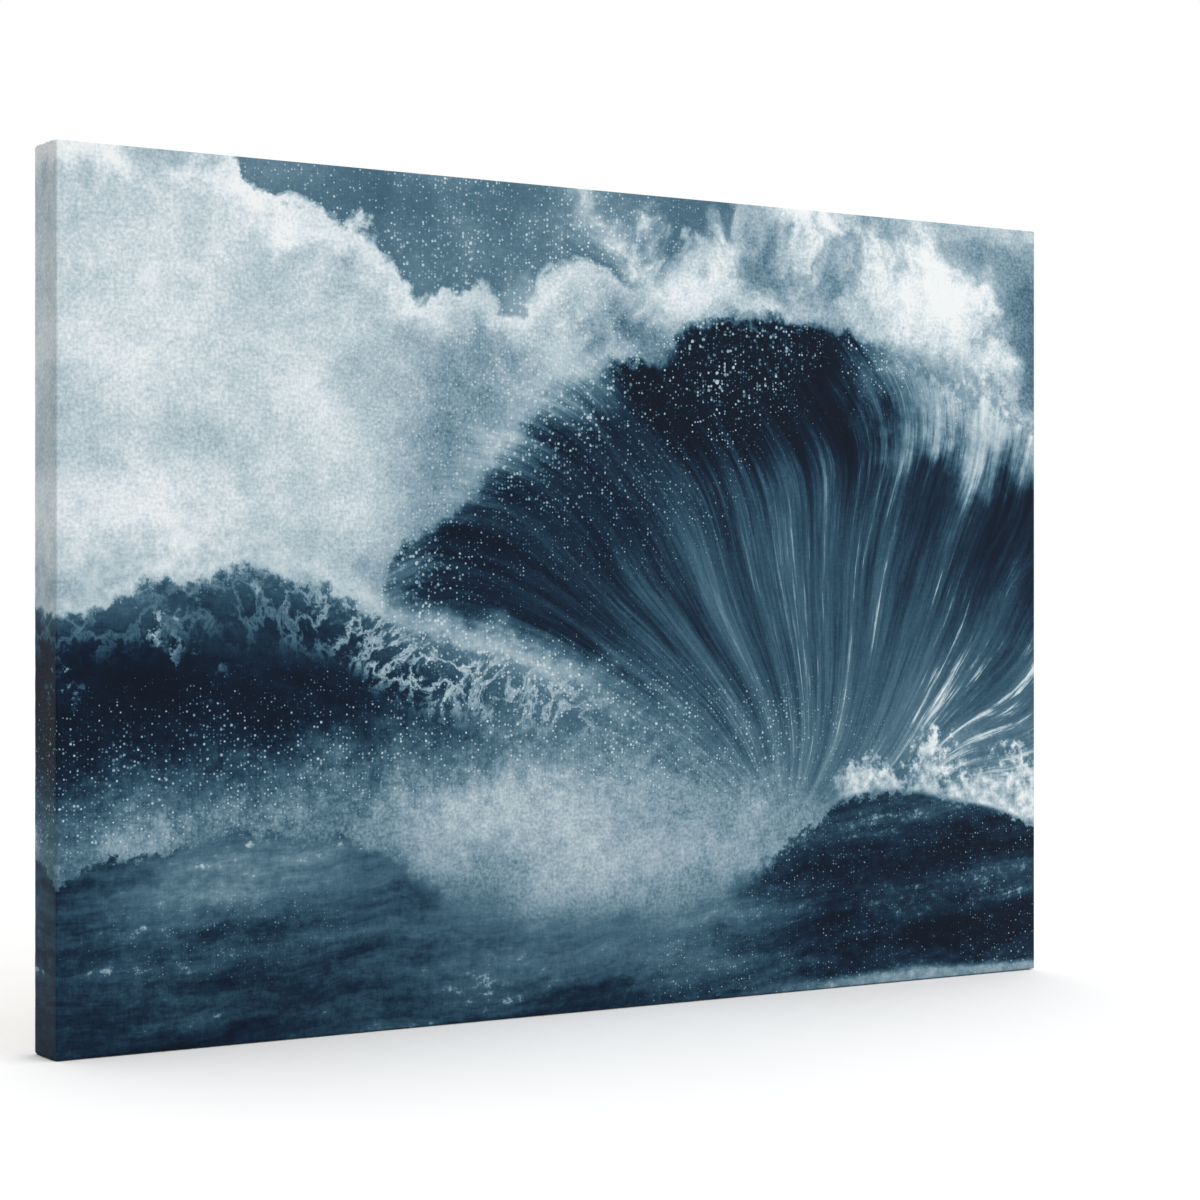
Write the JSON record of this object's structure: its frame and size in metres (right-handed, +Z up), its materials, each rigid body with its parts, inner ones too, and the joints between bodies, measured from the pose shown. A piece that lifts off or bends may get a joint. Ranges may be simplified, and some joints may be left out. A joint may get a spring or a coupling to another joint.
{
  "type": "stretched canvas",
  "caption": "Printed cloth stretched over a mitred frame of keyed wooden bars and stapled behind, with a folded strap and a swinging ring on each side bar for hanging.",
  "frame": {"origin": "middle of the flat lower side, where the canvas stands: half way across its width and half way through the depth of the cloth", "axes": "+X to the viewer's right along the width, +Z up, and the printed face looks along -Y, so +Y points at the wall"},
  "size_m": [0.7, 0.0361, 0.5],
  "materials": {
    "printed_cloth": "matt printed and sealed cotton canvas, bare primed white on the turned-over flaps",
    "bar_wood": "planed, unvarnished pine",
    "key_wood": "sawn, unvarnished beech",
    "staple_steel": "zinc-plated wire",
    "hanger_steel": "nickel-plated pressed steel",
    "ring_steel": "nickel-plated bent wire",
    "screw_steel": "zinc-plated"
  },
  "bodies": {
    "frame": {"printed_canvas": "printed_cloth", "stretcher_bar_top": "bar_wood", "stretcher_bar_bottom": "bar_wood", "stretcher_bar_left": "bar_wood", "stretcher_bar_right": "bar_wood", "staples_top": "staple_steel", "staples_bottom": "staple_steel", "staples_left": "staple_steel", "staples_right": "staple_steel", "hanger_strap_left": "hanger_steel", "hanger_strap_right": "hanger_steel", "hanger_screw_left": "screw_steel", "hanger_screw_right": "screw_steel"},
    "hanger_ring_right": {"hanger_ring_right": "ring_steel"},
    "hanger_ring_left": {"hanger_ring_left": "ring_steel"},
    "key_top_right_across": {"key_top_right_across": "key_wood"},
    "key_top_right_upright": {"key_top_right_upright": "key_wood"},
    "key_top_left_across": {"key_top_left_across": "key_wood"},
    "key_top_left_upright": {"key_top_left_upright": "key_wood"},
    "key_bottom_right_across": {"key_bottom_right_across": "key_wood"},
    "key_bottom_right_upright": {"key_bottom_right_upright": "key_wood"},
    "key_bottom_left_across": {"key_bottom_left_across": "key_wood"},
    "key_bottom_left_upright": {"key_bottom_left_upright": "key_wood"}
  },
  "joints": [
    {"name": "ring_right_swing", "type": "hinge", "parent": "frame", "child": "hanger_ring_right", "pos_m": [0.32, 0.0178, 0.39], "axis": [1, 0, 0], "range_deg": [0, 170]},
    {"name": "ring_left_swing", "type": "hinge", "parent": "frame", "child": "hanger_ring_left", "pos_m": [-0.32, 0.0178, 0.39], "axis": [1, 0, 0], "range_deg": [0, 170]},
    {"name": "key_top_right_across_slide", "type": "slide", "parent": "frame", "child": "key_top_right_across", "axis": [-1, 0, 0], "range_m": [0, 0.026]},
    {"name": "key_top_right_upright_slide", "type": "slide", "parent": "frame", "child": "key_top_right_upright", "axis": [0, 0, -1], "range_m": [0, 0.026]},
    {"name": "key_top_left_across_slide", "type": "slide", "parent": "frame", "child": "key_top_left_across", "axis": [1, 0, 0], "range_m": [0, 0.026]},
    {"name": "key_top_left_upright_slide", "type": "slide", "parent": "frame", "child": "key_top_left_upright", "axis": [0, 0, -1], "range_m": [0, 0.026]},
    {"name": "key_bottom_right_across_slide", "type": "slide", "parent": "frame", "child": "key_bottom_right_across", "axis": [-1, 0, 0], "range_m": [0, 0.026]},
    {"name": "key_bottom_right_upright_slide", "type": "slide", "parent": "frame", "child": "key_bottom_right_upright", "axis": [0, 0, 1], "range_m": [0, 0.026]},
    {"name": "key_bottom_left_across_slide", "type": "slide", "parent": "frame", "child": "key_bottom_left_across", "axis": [1, 0, 0], "range_m": [0, 0.026]},
    {"name": "key_bottom_left_upright_slide", "type": "slide", "parent": "frame", "child": "key_bottom_left_upright", "axis": [0, 0, 1], "range_m": [0, 0.026]}
  ]
}
